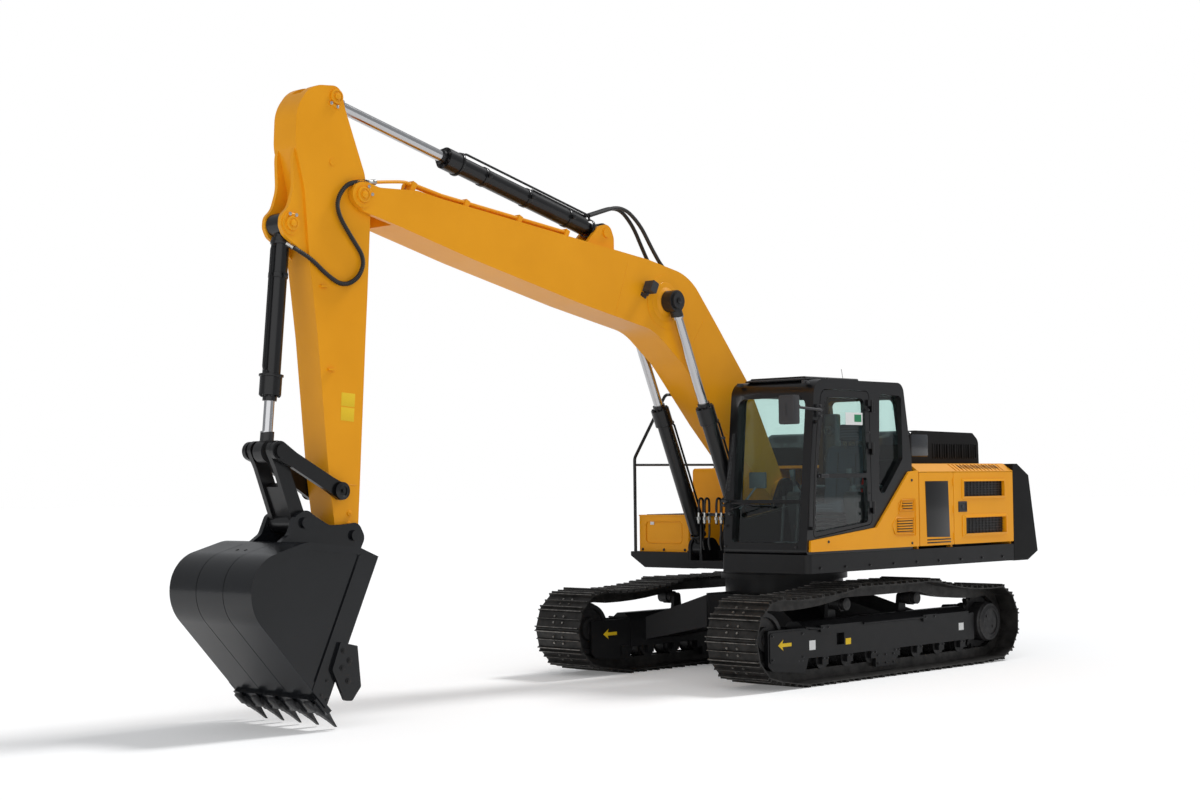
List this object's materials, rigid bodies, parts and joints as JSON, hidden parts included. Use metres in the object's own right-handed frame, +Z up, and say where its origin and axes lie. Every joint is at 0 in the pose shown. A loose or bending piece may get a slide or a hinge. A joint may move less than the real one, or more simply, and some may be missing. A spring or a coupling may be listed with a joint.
{
  "type": "crawler excavator",
  "caption": "Crawler excavator with swinging upper, side cab, two-piece digging boom and arm, toothed bucket, hydraulic cylinders and long steel tracks.",
  "frame": {"origin": "on the ground, under the swing bearing's axis", "axes": "+X forward along the tracks, +Y to the machine's left, +Z up"},
  "size_m": [10.0435, 2.855, 5.2641],
  "materials": {
    "yellow_paint": "satin",
    "black_paint": "satin",
    "track_steel": "satin",
    "cast_steel": "matte",
    "tooth_steel": "satin",
    "chrome_rod": "polished",
    "tinted_glass": "polished",
    "seat_cloth": "matte",
    "dark_plastic": "matte"
  },
  "bodies": {
    "undercarriage": {"carbody": "black_paint", "track_frame_left": "black_paint", "track_frame_right": "black_paint", "track_left": "track_steel", "track_right": "track_steel", "idlers": "cast_steel", "final_drives": "cast_steel", "track_rollers": "cast_steel", "carrier_rollers": "cast_steel"},
    "upper": {"revolving_frame": "black_paint", "counterweight": "black_paint", "cab_frame": "black_paint", "cab_glass": "tinted_glass", "operator_seat": "seat_cloth", "cab_consoles": "dark_plastic", "left_front_cover": "yellow_paint", "house_frame": "black_paint", "engine_block": "cast_steel", "radiator": "cast_steel", "fuel_tank": "yellow_paint", "hydraulic_tank": "yellow_paint", "toolbox": "yellow_paint", "handrails": "black_paint", "mirror_left": "black_paint"},
    "cab_door_leaf": {"cab_door": "black_paint", "door_glass": "tinted_glass"},
    "service_door": {"left_service_door": "yellow_paint"},
    "radiator_door": {"left_radiator_door": "yellow_paint", "radiator_grilles": "black_paint"},
    "pump_door": {"right_pump_door": "yellow_paint"},
    "hood": {"engine_hood": "black_paint"},
    "box_lid": {"toolbox_lid": "yellow_paint"},
    "boom_body": {"boom": "yellow_paint", "work_lamp": "black_paint"},
    "boom_barrels": {"boom_cylinder_barrels": "black_paint"},
    "boom_rods": {"boom_cylinder_rods": "chrome_rod"},
    "arm_body": {"arm": "yellow_paint"},
    "arm_barrel": {"arm_cylinder_barrel": "black_paint"},
    "arm_rod": {"arm_cylinder_rod": "chrome_rod"},
    "bucket_body": {"bucket": "black_paint", "bucket_teeth": "tooth_steel"},
    "bucket_barrel": {"bucket_cylinder_barrel": "black_paint"},
    "bucket_rod": {"bucket_cylinder_rod": "chrome_rod"},
    "side_link_pair": {"side_links": "black_paint"},
    "link_h": {"bucket_link": "black_paint"}
  },
  "joints": [
    {"name": "swing", "type": "hinge", "parent": "undercarriage", "child": "upper", "pos_m": [0, 0, 0.99], "axis": [0, 0, 1], "continuous": true},
    {"name": "boom_lift", "type": "hinge", "parent": "upper", "child": "boom_body", "pos_m": [0.15, -0.12, 1.815], "axis": [0, -1, 0], "range_deg": [-50, 36]},
    {"name": "arm_swing", "type": "hinge", "parent": "boom_body", "child": "arm_body", "pos_m": [5.67373, -0.12, 4.35563], "axis": [0, -1, 0], "range_deg": [-30, 78]},
    {"name": "bucket_curl", "type": "hinge", "parent": "arm_body", "child": "bucket_body", "pos_m": [5.7875, -0.12, 1.52292], "axis": [0, -1, 0], "range_deg": [-130, 15]},
    {"name": "boom_cylinder_turn", "type": "hinge", "parent": "upper", "child": "boom_barrels", "pos_m": [0.815, -0.12, 1.249], "axis": [0, -1, 0], "range_deg": [-48, 35]},
    {"name": "boom_cylinder_stroke", "type": "slide", "parent": "boom_barrels", "child": "boom_rods", "axis": [0.4036, 0, 0.9149], "range_m": [-0.71, 0.51]},
    {"name": "arm_cylinder_turn", "type": "hinge", "parent": "boom_body", "child": "arm_barrel", "pos_m": [2.61831, -0.12, 4.30747], "axis": [0, -1, 0], "range_deg": [-5, 5]},
    {"name": "arm_cylinder_stroke", "type": "slide", "parent": "arm_barrel", "child": "arm_rod", "axis": [0.9683, 0, 0.2499], "range_m": [-1, 0.4]},
    {"name": "side_links_turn", "type": "hinge", "parent": "arm_body", "child": "side_link_pair", "pos_m": [5.91882, -0.12, 1.89148], "axis": [0, -1, 0], "range_deg": [-105, 13]},
    {"name": "bucket_link_turn", "type": "hinge", "parent": "bucket_body", "child": "link_h", "pos_m": [6.29458, -0.12, 1.63812], "axis": [0, -1, 0], "range_deg": [-10, 84]},
    {"name": "bucket_cylinder_turn", "type": "hinge", "parent": "arm_body", "child": "bucket_barrel", "pos_m": [6.35503, -0.12, 4.06274], "axis": [0, -1, 0], "range_deg": [-7, 3]},
    {"name": "bucket_cylinder_stroke", "type": "slide", "parent": "bucket_barrel", "child": "bucket_rod", "axis": [0.0885, 0, -0.9961], "range_m": [-0.15, 1.1]},
    {"name": "cab_door_swing", "type": "hinge", "parent": "upper", "child": "cab_door_leaf", "pos_m": [0.27, 1.35, 2], "axis": [0, 0, 1], "range_deg": [0, 165]},
    {"name": "service_door_swing", "type": "hinge", "parent": "upper", "child": "service_door", "pos_m": [-1.125, 1.352, 1.6], "axis": [0, 0, 1], "range_deg": [0, 100]},
    {"name": "radiator_door_swing", "type": "hinge", "parent": "upper", "child": "radiator_door", "pos_m": [-2.275, 1.352, 1.6], "axis": [0, 0, 1], "range_deg": [0, 100]},
    {"name": "pump_door_swing", "type": "hinge", "parent": "upper", "child": "pump_door", "pos_m": [-2.275, -1.347, 1.6], "axis": [0, 0, -1], "range_deg": [0, 100]},
    {"name": "hood_lift", "type": "hinge", "parent": "upper", "child": "hood", "pos_m": [-0.915, 0, 2.096], "axis": [0, 1, 0], "range_deg": [0, 60]},
    {"name": "toolbox_lid_lift", "type": "hinge", "parent": "upper", "child": "box_lid", "pos_m": [-0.112, -1, 1.589], "axis": [0, -1, 0], "range_deg": [0, 80]}
  ],
  "couplings": [
    {"joint": "boom_cylinder_turn", "follows": "boom_lift", "ratio": 0.9454},
    {"joint": "boom_cylinder_stroke", "follows": "boom_lift", "m_per_rad": 0.7943},
    {"joint": "arm_cylinder_turn", "follows": "arm_swing", "ratio": -0.027},
    {"joint": "arm_cylinder_stroke", "follows": "arm_swing", "m_per_rad": -0.7137},
    {"joint": "side_links_turn", "follows": "bucket_curl", "ratio": 0.7985},
    {"joint": "bucket_link_turn", "follows": "bucket_curl", "ratio": -0.6309},
    {"joint": "bucket_cylinder_turn", "follows": "bucket_curl", "ratio": 0.044},
    {"joint": "bucket_cylinder_stroke", "follows": "bucket_curl", "m_per_rad": -0.474}
  ]
}
